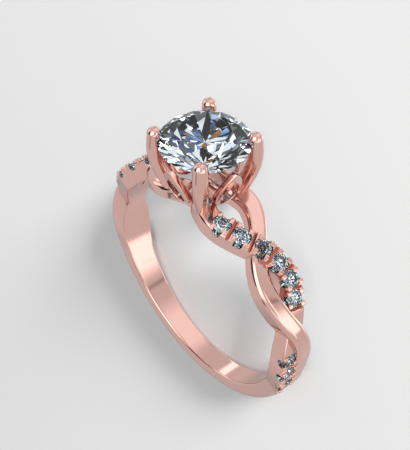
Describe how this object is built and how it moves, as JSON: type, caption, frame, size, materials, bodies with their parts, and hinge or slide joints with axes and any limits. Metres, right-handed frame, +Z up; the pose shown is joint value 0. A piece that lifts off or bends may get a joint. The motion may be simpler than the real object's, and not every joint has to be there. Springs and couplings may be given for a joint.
{
  "type": "ring",
  "caption": "Ring in rose-coloured gold with a round brilliant in a pronged basket and twisted shoulders, a stone-set strand wound with a plain one.",
  "frame": {"origin": "middle of the foot of the ring's box, on the table that it lies on", "axes": "the ring lies on its side as it rests by itself: -Y towards the centre stone, +Y towards the bottom of the band, +Z up through the finger hole, X across the ring"},
  "size_m": [0.021, 0.0245, 0.0066],
  "materials": {
    "rose_gold": "polished 14 carat rose gold",
    "diamond": "clear, cut and polished"
  },
  "bodies": {
    "root": {"ring_metal": "rose_gold", "centre_stone": "diamond", "side_stone_1": "diamond", "side_stone_2": "diamond", "side_stone_3": "diamond", "side_stone_4": "diamond", "side_stone_5": "diamond", "side_stone_6": "diamond", "side_stone_7": "diamond", "side_stone_8": "diamond", "side_stone_9": "diamond", "side_stone_10": "diamond", "side_stone_11": "diamond", "side_stone_12": "diamond", "side_stone_13": "diamond", "side_stone_14": "diamond", "side_stone_15": "diamond", "side_stone_16": "diamond", "side_stone_17": "diamond", "side_stone_18": "diamond"}
  },
  "joints": []
}
